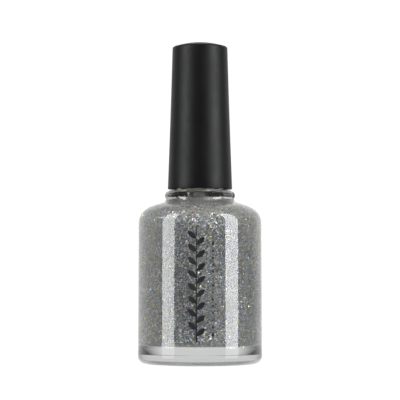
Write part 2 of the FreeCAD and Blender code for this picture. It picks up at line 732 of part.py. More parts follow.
def cut_splines(body):
    """Grooves cut straight up, so they fade out on the wall, which leans inwards."""
    outline = new_sketch(body, "spline_outline", "XY_Plane", dims.spline_low)
    wall_r, half_w = insert_r(dims.spline_low), dims.spline_w / 2
    draw(outline, [
        (wall_r - dims.spline_d, -half_w),
        (wall_r + dims.spline_over, -half_w - dims.spline_flare),
        (wall_r + dims.spline_over, half_w + dims.spline_flare),
        (wall_r - dims.spline_d, half_w),
    ])
    length = dims.insert_top_z - dims.spline_low - dims.spline_stop
    spline = prism(body, "spline", outline, length, cut=True, reverse=True)
    ring_of(body, "splines", spline, dims.spline_count)


def add_cap_thread(body):
    path = helix_path(
        "cap_thread_path", dims.insert_root_r.value, dims.cap_thread_z.value,
        dims.cap_thread_turns.value)
    foot_r, mid_z = dims.insert_root_r, dims.cap_thread_z
    crest_r = foot_r - dims.cap_thread_h
    foot, crest = dims.cap_thread_foot / 2, dims.cap_thread_crest / 2
    root, flare = 0.12, 0.03  # depth of the profile behind its foot, and its widening there
    ease_r, ease_out, ease_in = 0.10, 0.05, 0.06  # bevel of the crest: radial, outer, inner end
    threaded(body, "cap_thread", path, [
        (foot_r + root, mid_z - foot - flare),
        (foot_r + root, mid_z + foot + flare),
        (foot_r, mid_z + foot),
        (crest_r + ease_r, mid_z + crest + ease_out),
        (crest_r, mid_z + crest - ease_in),
        (crest_r, mid_z - crest + ease_in),
        (crest_r + ease_r, mid_z - crest - ease_out),
        (foot_r, mid_z - foot),
    ])


def make_inner_cap():
    body = new_body("inner_cap")
    turn_inner_cap(body)
    add_webs(body)
    cut_splines(body)
    add_cap_thread(body)
    return body


# ---------------------------------------------------------------- liner
def make_liner():
    """A ring that lies on the neck's sealing land."""
    body = new_body("seal_liner")
    edge, out_r = dims.liner_edge, dims.liner_out_r
    low_z, top_z = dims.neck_top_z, dims.neck_top_z + dims.liner_t
    turned(body, "liner_ring", [
        (dims.liner_in_r, low_z),
        (out_r - edge, low_z, (edge, LEFT)),
        (out_r, low_z + edge),
        (out_r, top_z - edge, (edge, LEFT)),
        (out_r - edge, top_z),
        (dims.liner_in_r, top_z),
    ])
    return body


# ---------------------------------------------------------------- brush
def make_stem():
    body = new_body("brush_stem")
    edge = dims.flange_edge
    turned(body, "stem_turned", [
        (0, dims.stem_z),
        (dims.stem_r_low - dims.stem_edge, dims.stem_z, (dims.stem_edge, LEFT)),
        (dims.stem_r_low, dims.stem_z + dims.stem_edge),
        (dims.stem_r, dims.stem_taper_z),
        (dims.stem_r, dims.flange_low_z),
        (dims.flange_r - edge, dims.flange_low_z),
        (dims.flange_r, dims.flange_low_z + edge),
        (dims.flange_r, dims.flange_high_z - edge),
        (dims.flange_r - edge, dims.flange_high_z),
        (dims.head_r, dims.flange_high_z),
        (dims.head_r, dims.head_z - dims.head_edge),
        (dims.head_r - dims.head_edge, dims.head_z),
        (0, dims.head_z),
    ])
    mouth_r = dims.tuft_hole_r + dims.tuft_mouth
    turned(body, "tuft_hole", [
        (0, dims.stem_z - OVERRUN),
        (mouth_r, dims.stem_z - OVERRUN),
        (mouth_r, dims.stem_z),
        (dims.tuft_hole_r, dims.stem_z + dims.tuft_mouth_h),
        (dims.tuft_hole_r, dims.tuft_hole_z - dims.tuft_hole_cone),
        (0, dims.tuft_hole_z),
    ], cut=True)
    slots = new_sketch(body, "anchor_slot_outline", "XY_Plane", dims.stem_z - OVERLAP)
    half_t = dims.anchor_t / 2 + dims.anchor_slack
    half_l = dims.anchor_l / 2 + dims.anchor_slack
    draw(slots, [(-half_t, -half_l), (half_t, -half_l), (half_t, half_l), (-half_t, half_l)])
    slot_top_z = dims.anchor_z + dims.anchor_h + dims.anchor_slack
    prism(body, "anchor_slots", slots, slot_top_z - dims.stem_z + OVERLAP,
          cut=True, reverse=True)
    return body


def make_anchor():
    """A flat strip across the tuft hole, along Y."""
    anchor = doc.addObject("Part::Box", "tuft_anchor")
    drive(anchor, "Length", dims.anchor_t)
    drive(anchor, "Width", dims.anchor_l)
    drive(anchor, "Height", dims.anchor_h)
    place(anchor, "Placement", -(dims.anchor_t / 2), -(dims.anchor_l / 2), dims.anchor_z)
    doc.recompute()
    return anchor


def make_strand(x, y, tip_z):
    """One filament folded over the anchor strip, with a leg at x and one at -x."""
    bend_z = dims.bend_z.value
    foot = Vector(-x, y, tip_z)
    left, right = Vector(-x, y, bend_z), Vector(x, y, bend_z)
    way = Part.Wire([
        Part.LineSegment(foot, left).toShape(),
        Part.Arc(left, Vector(0, y, bend_z + x), right).toShape(),
        Part.LineSegment(right, Vector(x, y, tip_z)).toShape(),
    ])
    circle = Part.Circle(foot, Vector(0, 0, 1), dims.filament_r.value)
    return way.makePipeShell([Part.Wire([circle.toShape()])], True, False)


def make_bristles():
    """Strands nested inside one another, in rows along the anchor strip."""
    step, first = dims.filament_step.value, dims.filament_first.value
    reach = dims.tuft_r.value - dims.filament_r.value
    solids = []
    rows = int(reach / step)
    for j in range(-rows, rows + 1):
        y = j * step
        k = 0
        x = first
        while math.hypot(x, y) <= reach:
            shortening = dims.tuft_round.value * (x * x + y * y) / (reach * reach)
            solids += make_strand(x, y, dims.tuft_tip_z.value + shortening).Solids
            k += 1
            x = first + k * step
    tuft = doc.addObject("Part::Feature", "bristles")
    tuft.Shape = Part.makeCompound(solids)
    return tuft


# ---------------------------------------------------------------- build, check and export
pieces = [
    make_glass(),
    make_lacquer(),
    make_balls(),
    make_print(),
    make_outer_cap(),
    make_inner_cap(),
    make_liner(),
    make_stem(),
    make_anchor(),
    make_bristles(),
]
doc.recompute()

for item in doc.Objects:
    bad = [state for state in item.State if state in ("Invalid", "Error")]
    if bad:
        raise RuntimeError("%s is %s: %s" % (item.Name, bad, item.getStatusString()))
os.makedirs("parts", exist_ok=True)
for piece in pieces:
    if piece.Shape.isNull() or not piece.Shape.isValid():
        raise RuntimeError("%s has no valid shape" % piece.Label)
    piece.Shape.exportStep("parts/%s.step" % piece.Label)
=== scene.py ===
"""A small glass bottle of glitter lacquer with a tall black brush cap.

It stands upright on the Z axis with its foot at z = 0, and its printed front faces -Y.
Shapes are written in millimetres as (r, z); shaders, lights and camera are in metres.
"""

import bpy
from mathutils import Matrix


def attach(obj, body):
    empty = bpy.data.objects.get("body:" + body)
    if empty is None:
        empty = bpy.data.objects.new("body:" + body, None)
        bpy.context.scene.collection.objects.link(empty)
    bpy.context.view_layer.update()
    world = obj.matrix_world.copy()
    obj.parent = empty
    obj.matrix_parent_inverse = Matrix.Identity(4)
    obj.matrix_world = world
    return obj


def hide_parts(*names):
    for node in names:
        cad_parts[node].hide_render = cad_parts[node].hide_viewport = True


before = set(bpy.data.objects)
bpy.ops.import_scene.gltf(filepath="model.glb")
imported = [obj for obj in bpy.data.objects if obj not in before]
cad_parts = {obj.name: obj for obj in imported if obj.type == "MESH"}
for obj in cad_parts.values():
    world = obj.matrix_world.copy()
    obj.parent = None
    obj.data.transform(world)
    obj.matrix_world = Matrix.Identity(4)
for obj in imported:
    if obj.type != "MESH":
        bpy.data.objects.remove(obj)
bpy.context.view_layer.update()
import bisect
import math
import random

import bmesh
import bpy
from mathutils import Matrix, Vector

MM = 0.001
rng = random.Random(20857)


# ------------------------------------------------------------------ geometry helpers
def arc(start, end, radius, side, steps):
    """Points on an arc; side +1 puts its centre on the left of the way from start to end."""
    dx, dy = end[0] - start[0], end[1] - start[1]
    chord = math.hypot(dx, dy)
    rise = math.sqrt(max(radius * radius - chord * chord / 4, 0.0))
    cx = (start[0] + end[0]) / 2 - side * dy / chord * rise
    cy = (start[1] + end[1]) / 2 + side * dx / chord * rise
    first = math.atan2(start[1] - cy, start[0] - cx)
    last = math.atan2(end[1] - cy, end[0] - cx)
    if side > 0:
        while last <= first:
            last += 2 * math.pi
    else:
        while last >= first:
            last -= 2 * math.pi
    angles = [first + (last - first) * i / steps for i in range(steps + 1)]
    return [(cx + radius * math.cos(a), cy + radius * math.sin(a)) for a in angles]


def outline(corners):
    """Points through a table of corners, each with the way it is joined to the next:

    (r, z)                       a straight line
    (r, z, step)                 a straight line cut into steps of about this length
    (r, z, radius, side, steps)  an arc
    """
    points = []
    for here, following in zip(corners, corners[1:]):
        start, end = here[:2], following[:2]
        points.append(start)
        if len(here) == 5:
            points += arc(start, end, *here[2:])[1:-1]
        elif len(here) == 3:
            n = max(1, int(math.dist(start, end) / here[2]))
            points += [
                (start[0] + (end[0] - start[0]) * k / n, start[1] + (end[1] - start[1]) * k / n)
                for k in range(1, n)]
    points.append(corners[-1][:2])
    return points


def lathe(profile, segments, push=None, ring=False):
    """Vertices and faces of a turned shape.

    push(r, z, angle) gives a radial shift; ring joins the last point to the first.
    """
    verts, faces, rows = [], [], []
    for r, z in profile:
        if r < 1e-6:
            rows.append([len(verts)] * segments)
            verts.append((0.0, 0.0, z))
            continue
        rows.append(list(range(len(verts), len(verts) + segments)))
        for j in range(segments):
            angle = 2 * math.pi * j / segments
            pushed = r + (push(r, z, angle) if push else 0.0)
            verts.append((pushed * math.cos(angle), pushed * math.sin(angle), z))
    for i in range(len(rows) if ring else len(rows) - 1):
        low, high = rows[i], rows[(i + 1) % len(rows)]
        for j in range(segments):
            k = (j + 1) % segments
            # a row on the axis is one vertex, so repeats are dropped
            face = list(dict.fromkeys((low[j], low[k], high[k], high[j])))
            if len(face) > 2:
                faces.append(face)
    return verts, faces


def block(x, y, z, chamfer, turn=0.0):
    """A chamfered block between (low, high) pairs, turned about Z."""
    bm = bmesh.new()
    bmesh.ops.create_cube(bm, size=1.0)
    for v in bm.verts:
        v.co = Vector([
            (low + high) / 2 + unit * (high - low) for unit, (low, high) in zip(v.co, (x, y, z))])
    bmesh.ops.bevel(
        bm, geom=list(bm.edges), offset=chamfer, segments=2, profile=0.7, affect="EDGES")
    rotation = Matrix.Rotation(turn, 3, "Z")
    verts = [tuple(rotation @ v.co) for v in bm.verts]
    faces = [[v.index for v in face.verts] for face in bm.faces]
    bm.free()
    return verts, faces


def join(parts):
    verts, faces = [], []
    for part_verts, part_faces in parts:
        base = len(verts)
        verts += part_verts
        faces += [[i + base for i in face] for face in part_faces]
    return verts, faces


def add_mesh(name, shape, material, body, sharp, replaces=None):
    """Make an object from (verts, faces) in mm; edges over sharp degrees stay hard."""
    verts, faces = shape
    mesh = bpy.data.meshes.new(name)
    mesh.from_pydata([(x * MM, y * MM, z * MM) for x, y, z in verts], [], faces)
    bm = bmesh.new()
    bm.from_mesh(mesh)
    bmesh.ops.recalc_face_normals(bm, faces=bm.faces)
    bm.to_mesh(mesh)
    bm.free()
    mesh.polygons.foreach_set("use_smooth", [True] * len(mesh.polygons))
    mesh.set_sharp_from_angle(angle=math.radians(sharp))
    mesh.update()
    ob = bpy.data.objects.new(name, mesh)
    bpy.context.scene.collection.objects.link(ob)
    ob.data.materials.append(material)
    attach(ob, body)
    if replaces:
        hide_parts(replaces)
    return ob


# ------------------------------------------------------------------ node helpers
class Shader:
    """Short calls that build the node tree of a material or world and return sockets."""

    def __init__(self, owner, output="OutputMaterial"):
        owner.use_nodes = True
        self.owner = owner
        self.tree = owner.node_tree
        self.tree.nodes.clear()
        self.output = self.node(output)
        self.coords = self.node("TexCoord").outputs

    def node(self, kind, inputs=None, **props):
        node = self.tree.nodes.new("ShaderNode" + kind)
        for key, value in props.items():
            setattr(node, key, value)
        for key, value in (inputs or {}).items():
            if isinstance(value, bpy.types.NodeSocket):
                self.tree.links.new(value, node.inputs[key])
            else:
                node.inputs[key].default_value = value
        return node

    def noise(self, scale, detail=2.0, roughness=0.5, vector=None):
        return self.node("TexNoise", {
            "Vector": vector or self.coords["Object"], "Scale": scale,
            "Detail": detail, "Roughness": roughness}).outputs["Fac"]

    def cells(self, scale):
        """A random colour for each Voronoi cell."""
        inputs = {"Vector": self.coords["Object"], "Scale": scale}
        return self.node("TexVoronoi", inputs).outputs["Color"]

    def axes(self, vector):
        return self.node("SeparateXYZ", {"Vector": vector}).outputs

    def channels(self, color):
        return self.node("SeparateColor", {"Color": color}).outputs

    def ramp(self, factor, *stops):
        """Colour ramp through (position, (r, g, b)) stops."""
        node = self.node("ValToRGB", {"Fac": factor})
        elements = node.color_ramp.elements
        while len(elements) < len(stops):
            elements.new(0.5)
        for element, (position, color) in zip(elements, stops):
            element.position = position
            element.color = (*color, 1.0)
        return node.outputs["Color"]

    def calc(self, operation, a, b=0.0):
        return self.node("Math", {0: a, 1: b}, operation=operation).outputs[0]

    def vector(self, operation, inputs):
        return self.node("VectorMath", inputs, operation=operation).outputs[0]

    def remap(self, value, span=(0.3, 0.7), to=(0.0, 1.0), **props):
        """Map span to another range; the default span is where noise mostly lies."""
        return self.node("MapRange", {
            "Value": value, "From Min": span[0], "From Max": span[1],
            "To Min": to[0], "To Max": to[1]}, **props).outputs[0]

    def bump(self, height, strength, distance):
        inputs = {"Height": height, "Strength": strength, "Distance": distance}
        return self.node("Bump", inputs).outputs[0]

    def mix_color(self, factor, a, b):
        return self.node("Mix", {0: factor, 6: a, 7: b}, data_type="RGBA").outputs[2]

    def mix_shader(self, factor, a, b):
        return self.node("MixShader", {0: factor, 1: a, 2: b}).outputs[0]

    def principled(self, **inputs):
        """Principled shader; underscores in the keywords stand for spaces."""
        named = {key.replace("_", " "): value for key, value in inputs.items()}
        return self.node("BsdfPrincipled", named).outputs[0]

    def finish(self, surface):
        self.tree.links.new(surface, self.output.inputs["Surface"])
        return self.owner


def new_material(name):
    return Shader(bpy.data.materials.new(name))


def grey(value):
    return (value, value, value)


# ------------------------------------------------------------------ materials
def make_glass():
    """Clear glass, faintly wavy, with broken patches of painted shade round the bead."""
    m = new_material("clear_glass")
    glass = m.principled(
        Base_Color=(0.985, 0.992, 0.99, 1),
        Roughness=m.remap(m.noise(160.0, detail=3.0, roughness=0.6), span=(0.45, 0.8), to=(0.0, 0.03)),
        IOR=1.5,
        Transmission_Weight=1.0,
        Normal=m.bump(m.noise(95.0, roughness=0.45), strength=0.012, distance=0.0004))

    x, y, z = m.axes(m.coords["Object"])
    radius = m.calc("SQRT", m.calc("ADD", m.calc("MULTIPLY", x, x), m.calc("MULTIPLY", y, y)))
    around = m.calc("ARCTAN2", x, m.calc("MULTIPLY", y, -1.0))  # 0 at the front, rising to +X
    ragged = m.calc("SUBTRACT", m.noise(900.0, detail=3.0, roughness=0.7), 0.5)

    # a level band with ragged edges
    height = m.calc("ADD", z, m.calc("MULTIPLY", ragged, 0.0007))
    band = m.calc(
        "MULTIPLY",
        m.remap(height, span=(0.04005, 0.04020)),
        m.remap(height, span=(0.04128, 0.04150), to=(1.0, 0.0)))
    # broken into six patches, the first a little to the right of the front
    first_patch, patches = 0.454, 6.0
    wave = m.calc(
        "COSINE", m.calc("MULTIPLY", m.calc("SUBTRACT", around, first_patch), patches))
    patch = m.remap(m.calc("ADD", wave, m.calc("MULTIPLY", ragged, 1.4)), span=(-0.15, 0.25))
    fleck = m.remap(m.noise(2600.0, roughness=0.6), span=(0.30, 0.37))
    outside = m.calc("GREATER_THAN", radius, 0.0070)
    bead_shade_mask = m.calc("MULTIPLY", m.calc("MULTIPLY", band, patch), m.calc("MULTIPLY", fleck, outside))
    # painted shade: near-black rough patches on the glass round the bead stand in for the shadow under
    # the cap
    painted_bead_shade = m.principled(
        Base_Color=m.ramp(
            m.noise(3300.0, roughness=0.6),
            (0.35, grey(0.006)), (0.58, (0.014, 0.014, 0.013)), (0.75, (0.09, 0.09, 0.085))),
        Roughness=0.75,
        Specular_IOR_Level=0.08)
    return m.finish(m.mix_shader(bead_shade_mask, glass, painted_bead_shade))


# Foil colours in the lacquer: ramp position, share of the layer's brightness.
FOIL_TINTS = (
    (0.40, (0.70, 0.70, 0.72)), (0.60, (1.0, 1.0, 1.0)), (0.74, (1.0, 0.90, 0.46)),
    (0.86, (0.48, 0.75, 1.0)), (1.0, (0.74, 0.62, 0.92)))


def foil_layer(m, under, normal, lit_underside, scale, threshold, tilt, roughness, dark, light):
    """Lay tilted foil cells over a shader; fewer cells pass a higher threshold."""
    cell = m.cells(scale)
    channel = m.channels(cell)
    offset = m.vector("SUBTRACT", {0: cell, 1: (0.5, 0.5, 0.5)})
    offset = m.vector("SCALE", {0: offset, "Scale": tilt * 2})
    tilted = m.vector("NORMALIZE", {0: m.vector("ADD", {0: normal, 1: offset})})
    tints = [(position, tuple(light * c for c in color)) for position, color in FOIL_TINTS]
    foil = m.principled(
        Base_Color=m.ramp(channel["Blue"], (0.0, grey(dark)), *tints),
        Metallic=0.75,
        Roughness=roughness,
        Normal=tilted)
    # fewer foil cells where the underside is painted lighter
    limit = m.calc("ADD", m.calc("MULTIPLY", lit_underside, 0.5), threshold)
    return m.mix_shader(m.calc("GREATER_THAN", channel["Red"], limit), under, foil)


def make_lacquer():
    """Grey binder full of fine foil.

    It is bluish face on, with painted light: warmer and lighter at the sides, on the shoulder
    and where the skin faces down.
    """
    m = new_material("glitter_lacquer")
    normal = m.node("NewGeometry").outputs["Normal"]
    place = m.axes(m.coords["Object"])
    height = place["Z"]
    facing = m.node("LayerWeight", {"Blend": 0.5}).outputs["Facing"]
    cloud = m.noise(420.0, detail=3.0, roughness=0.6)

    # painted light: by facing and on the shoulder, bluish turns to a warmer, lighter colour, as if lit
    # at the edges
    soft = m.calc("MULTIPLY", m.calc("SUBTRACT", cloud, 0.5), 0.35)
    sides = m.calc("ADD", facing, m.calc("MULTIPLY", soft, 0.3))
    sides = m.remap(sides, span=(0.04, 0.34), to=(0.0, 0.60))
    shoulder = m.remap(height, span=(0.0350, 0.0374))
    bluish = m.ramp(cloud, (0.3, (0.142, 0.149, 0.163)), (0.7, (0.214, 0.221, 0.232)))
    lit_edge_tone = m.ramp(cloud, (0.3, (0.430, 0.408, 0.355)), (0.7, (0.525, 0.503, 0.445)))
    color = m.mix_color(m.calc("MAXIMUM", sides, shoulder), bluish, lit_edge_tone)

    # painted light: lighter again high on the sides, and along the left (-X)
    x = m.axes(m.coords["Object"])["X"]
    upper = m.calc("MULTIPLY", sides, m.remap(height, span=(0.0200, 0.0345)))
    left = m.calc(
        "MULTIPLY",
        m.remap(x, span=(-0.0064, -0.0092), to=(0.0, 0.40)),
        m.remap(height, span=(0.006, 0.022), to=(0.3, 1.0)))
    color = m.mix_color(m.calc("MAXIMUM", upper, left), color, (0.70, 0.672, 0.615, 1))

    # painted light: near-white where the skin faces down, as if lit from the floor below
    lit_underside = m.remap(m.axes(normal)["Z"], span=(-0.86, -0.97))
    color = m.mix_color(lit_underside, color, (0.78, 0.78, 0.77, 1))
    shader = m.principled(Base_Color=color, Roughness=0.6, Specular_IOR_Level=0.0)
    shader = foil_layer(
        m, shader, normal, lit_underside,
        scale=7000.0, threshold=0.60, tilt=0.62, roughness=0.40, dark=0.06, light=0.62)
    shader = foil_layer(
        m, shader, normal, lit_underside,
        scale=4300.0, threshold=0.775, tilt=0.70, roughness=0.28, dark=0.10, light=1.00)
    return m.finish(shader)


def make_flake():
    m = new_material("glitter_flake")
    return m.finish(m.principled(
        Base_Color=m.node("Attribute", attribute_name="tint").outputs["Color"],
        Metallic=1.0,
        Roughness=m.remap(m.noise(9000.0, detail=1.0), to=(0.16, 0.30))))


def make_soft_touch():
    m = new_material("soft_touch_black")
    grain = m.noise(5200.0, detail=3.0, roughness=0.6)
    broad = m.noise(70.0, detail=4.0, roughness=0.55)
    patchy = m.noise(420.0, detail=4.0, roughness=0.6)
    return m.finish(m.principled(
        Base_Color=m.ramp(
            broad, (0.3, (0.0018, 0.0018, 0.0020)), (0.75, (0.0034, 0.0033, 0.0034))),
        Roughness=m.calc(
            "ADD",
            m.remap(broad, to=(0.44, 0.51)),
            m.remap(patchy, span=(0.4, 0.7), to=(-0.02, 0.03))),
        IOR=1.47,
        Normal=m.bump(grain, strength=0.12, distance=0.00006),
        Specular_IOR_Level=0.25))


def make_plastic(name, dark, light, roughness, bump, scale):
    m = new_material(name)
    fine = m.noise(scale, detail=3.0, roughness=0.55)
    broad = m.noise(scale / 9, detail=3.0)
    return m.finish(m.principled(
        Base_Color=m.ramp(broad, (0.3, dark), (0.7, light)),
        Roughness=m.remap(fine, to=roughness),
        IOR=1.48,
        Normal=m.bump(fine, strength=bump, distance=0.00008)))


def make_metal(name, tone, roughness, scale, stretch=(1, 1, 1)):
    m = new_material(name)
    mapping = m.node("Mapping", {"Vector": m.coords["Object"], "Scale": stretch})
    grain = m.noise(scale, detail=4.0, roughness=0.6, vector=mapping.outputs[0])
    return m.finish(m.principled(
        Base_Color=m.ramp(grain, (0.3, tuple(c * 0.86 for c in tone)), (0.7, tone)),
        Metallic=1.0,
        Roughness=m.remap(grain, to=roughness),
        Normal=m.bump(grain, strength=0.05, distance=0.00005)))


def make_ink():
    m = new_material("black_ink")
    fine = m.noise(4200.0, detail=3.0, roughness=0.6)
    return m.finish(m.principled(
        Base_Color=m.ramp(
            m.noise(380.0), (0.3, (0.006, 0.006, 0.007)), (0.7, (0.014, 0.014, 0.015))),
        Roughness=m.remap(fine, to=(0.42, 0.60)),
        IOR=1.45,
        Normal=m.bump(fine, strength=0.15, distance=0.00003)))


def ragged_height(m, height, noise, spread):
    """Height shifted by noise, so that a level edge on it comes out uneven."""
    return m.calc("ADD", height, m.calc("MULTIPLY", m.calc("SUBTRACT", noise, 0.5), spread))


def make_bristle():
    """Black nylon, wetted by glitter lacquer towards the tip."""
    m = new_material("nylon_filament")
    height = m.axes(m.coords["Object"])["Z"]
    edge = ragged_height(m, height, m.noise(1500.0, detail=3.0, roughness=0.6), spread=0.006)
    wet = m.remap(edge, span=(0.0135, 0.0190), to=(1.0, 0.0))
    glitter = m.ramp(
        m.channels(m.cells(4200.0))["Red"],
        (0.0, (0.05, 0.05, 0.052)), (0.6, grey(0.16)),
        (0.85, (0.65, 0.64, 0.60)), (1.0, (0.55, 0.62, 0.68)))
    return m.finish(m.principled(
        Base_Color=m.mix_color(wet, (0.012, 0.011, 0.011, 1), glitter),
        Roughness=m.remap(wet, span=(0, 1), to=(0.34, 0.12)),
        Coat_Weight=wet))


def make_stem():
    """Black plastic, with a film of lacquer left on its lower part, painted much lighter in the neck
    as light.
    """
    m = new_material("stem_plastic")
    fine = m.noise(1200.0, detail=3.0, roughness=0.55)
    broad = m.noise(260.0, detail=3.0, roughness=0.6)
    height = m.axes(m.coords["Object"])["Z"]
    edge = ragged_height(m, height, broad, spread=0.008)
    wet = m.remap(edge, span=(0.0452, 0.0470), to=(1.0, 0.0))
    cell = m.channels(m.cells(5200.0))["Red"]
    thin = m.ramp(
        cell,
        (0.0, (0.030, 0.030, 0.032)), (0.66, (0.075, 0.075, 0.077)),
        (0.86, (0.34, 0.33, 0.28)), (1.0, (0.28, 0.33, 0.40)))
    # painted light: the much lighter film in the neck stands in for light falling there
    thick = m.ramp(
        cell,
        (0.0, (0.42, 0.42, 0.425)), (0.70, (0.55, 0.55, 0.54)),
        (0.88, (0.62, 0.60, 0.52)), (1.0, (0.55, 0.62, 0.70)))
    lit_neck_band = m.calc(
        "MULTIPLY",
        m.remap(height, span=(0.0372, 0.0384)),
        m.remap(edge, span=(0.0440, 0.0452), to=(1.0, 0.0)))
    film = m.mix_color(lit_neck_band, thin, thick)
    black = m.ramp(broad, (0.3, (0.010, 0.010, 0.011)), (0.7, (0.017, 0.017, 0.018)))
    return m.finish(m.principled(
        Base_Color=m.mix_color(wet, black, film),
        Roughness=m.calc(
            "ADD", m.remap(fine, to=(0.26, 0.38)), m.calc("MULTIPLY", wet, 0.10)),
        IOR=1.48,
        Coat_Weight=m.calc("MULTIPLY", wet, 0.25),
        Coat_Roughness=0.15,
        Normal=m.bump(fine, strength=0.06, distance=0.00008)))


GLASS = make_glass()
LACQUER = make_lacquer()
FLAKE = make_flake()
SOFT_TOUCH = make_soft_touch()
INSERT = make_plastic(
    "insert_plastic", dark=(0.011, 0.011, 0.012), light=(0.018, 0.018, 0.019),
    roughness=(0.32, 0.46), bump=0.08, scale=1400.0)
LINER = make_plastic(
    "liner_foam", dark=(0.78, 0.78, 0.75), light=(0.88, 0.88, 0.85),
    roughness=(0.62, 0.80), bump=0.35, scale=5200.0)
STEM = make_stem()
STEEL = make_metal("steel_ball", tone=(0.62, 0.62, 0.63), roughness=(0.08, 0.2), scale=900.0)
STRIP = make_metal(
    "anchor_metal", tone=(0.60, 0.60, 0.58), roughness=(0.25, 0.42), scale=1600.0,
    stretch=(1, 0.15, 1))
INK = make_ink()
BRISTLE = make_bristle()

# ------------------------------------------------------------------ shared sizes, mm
THREAD_PITCH = 2.117
NECK_R = 5.65
BOTTLE_TOP = 53.30

# inside of the glass, (r, z)
FLOOR_Z = 4.60
FLOOR_EDGE = (11.40, 4.45)
WALL_FOOT = (13.20, 6.30)
WALL_HEAD = (13.08, 33.20)
SHOULDER_OUTER = (11.20, 36.10)
SHOULDER_INNER = (5.30, 37.95)
BORE_FOOT = (3.80, 39.60)
WETTING = 0.03  # how far the lacquer reaches into the glass


def thread(start_z, turns, height, foot, crest, sink=0.0, fade=0.0):
    """Height of a thread at (z, angle).

    foot and crest are the half widths of its section; it sinks into the wall over
    fade degrees at both ends.
    """
    total, fade = 2 * math.pi * turns, math.radians(fade)

    def height_at(z, angle):
        best = 0.0
        for k in range(int(turns) + 2):
            run = angle + 2 * math.pi * k
            if run > total:
                break
            away = abs(z - (start_z + THREAD_PITCH * run / (2 * math.pi)))
            if away >= foot:
                continue
            share = 1.0
            if fade:
                s = min(1.0, min(run, total - run) / fade)
                share = s * s * (3 - 2 * s)
            flank = min(1.0, (foot - away) / (foot - crest))
            flank = flank * flank * (3 - 2 * flank) * 0.35 + flank * 0.65
            best = max(best, height * flank - sink * (1 - share))
        return best

    return height_at


# ------------------------------------------------------------------ bottle
def build_glass():
    neck_thread = thread(
        start_z=46.75, turns=1.95, height=0.65, foot=0.53, crest=0.23, sink=0.75, fade=55.0)

    def push(r, z, angle):
        return neck_thread(z, angle) if 5.6 < r < 5.7 and 45.0 < z < 52.6 else 0.0

    profile = outline([
        # underside and foot
        (0.0, 0.90, 53.81, -1, 14), (9.80, 0.0), (10.6, 0.0), (13.15, 0.0, 1.90, 1, 14),
        # outer wall and shoulder
        (15.05, 1.90, 2.0), (14.90, 34.00, 4.05, 1, 22), (13.20, 37.30, 7.16, 1, 10),
        (11.10, 38.33), (10.2, 38.62),
        # groove and bead
        (9.15, 38.95, 0.98, -1, 12), (8.28, 39.75), (8.48, 40.60, 1.28, 1, 14),
        (7.45, 41.82), (6.90, 41.86),
        # neck and lip
        (6.25, 41.90, 0.60, -1, 8), (NECK_R, 42.50), (NECK_R, 45.4, 0.075), (NECK_R, 52.4),
        (NECK_R, 52.85, 0.45, 1, 8), (5.20, BOTTLE_TOP), (4.15, BOTTLE_TOP, 0.35, 1, 6),
        # inside, downwards
        (BORE_FOOT[0], 52.95, 1.5), (*BORE_FOOT, 1.75, 1, 14), (*SHOULDER_INNER, 1.5),
        (*SHOULDER_OUTER, 2.90, -1, 18), (*WALL_HEAD, 2.0), (*WALL_FOOT, 1.86, -1, 14),
        (*FLOOR_EDGE, 1.6), (0.0, FLOOR_Z),
    ])
    add_mesh(
        "glass_bottle", lathe(profile, 256, push), GLASS, "bottle", sharp=40.0,
        replaces="bottle_glass")


def wetted(point, out=WETTING, up=0.0):
    return point[0] + out, point[1] + up


def build_lacquer():
    """Lacquer with the space the brush stands in; returns its skin against the glass."""
    neck_foot = wetted(BORE_FOOT)
    channel = 2.00  # radius of the space round the brush
    profile = outline([
        # against the glass, upwards
        (0.0, FLOOR_Z - WETTING), (*wetted(FLOOR_EDGE, 0.0, -WETTING), 1.86, 1, 14),
        (*wetted(WALL_FOOT), 2.0), (*wetted(WALL_HEAD), 2.90, 1, 18),
        (*wetted(SHOULDER_OUTER, up=WETTING), 1.5),
        (*wetted(SHOULDER_INNER, up=WETTING), 1.75, -1, 12), neck_foot,
        # free surface, dipping from the glass to the brush
        (neck_foot[0], 40.34), (3.70, 40.27), (3.45, 40.22), (channel, 40.20),
        # down along the brush
        (channel, 30.0), (channel, 20.0), (channel, 7.20, 0.6, -1, 5), (1.40, 6.60), (0.0, 6.60),
    ])
    add_mesh(
        "lacquer_fill", lathe(profile, 192), LACQUER, "bottle", sharp=40.0,
        replaces="lacquer")
    return profile[:profile.index(neck_foot) + 1]


# Flake colours: upper limit of the draw, tint.
FLAKE_TINTS = (
    (0.46, (1, 1, 1)), (0.73, (1.0, 0.90, 0.42)),
    (0.94, (0.48, 0.76, 1.0)), (1.0, (0.82, 0.66, 0.95)))
FLAKE_HALF_THICK = 0.008
FLAKE_R, FLAKE_R_SPREAD, FLAKE_R_EXTRA = 0.073, 0.043, 0.040
FLAKE_TILT = 0.52
FLAKE_LIFT = 0.012  # from the lacquer's skin out to the flake


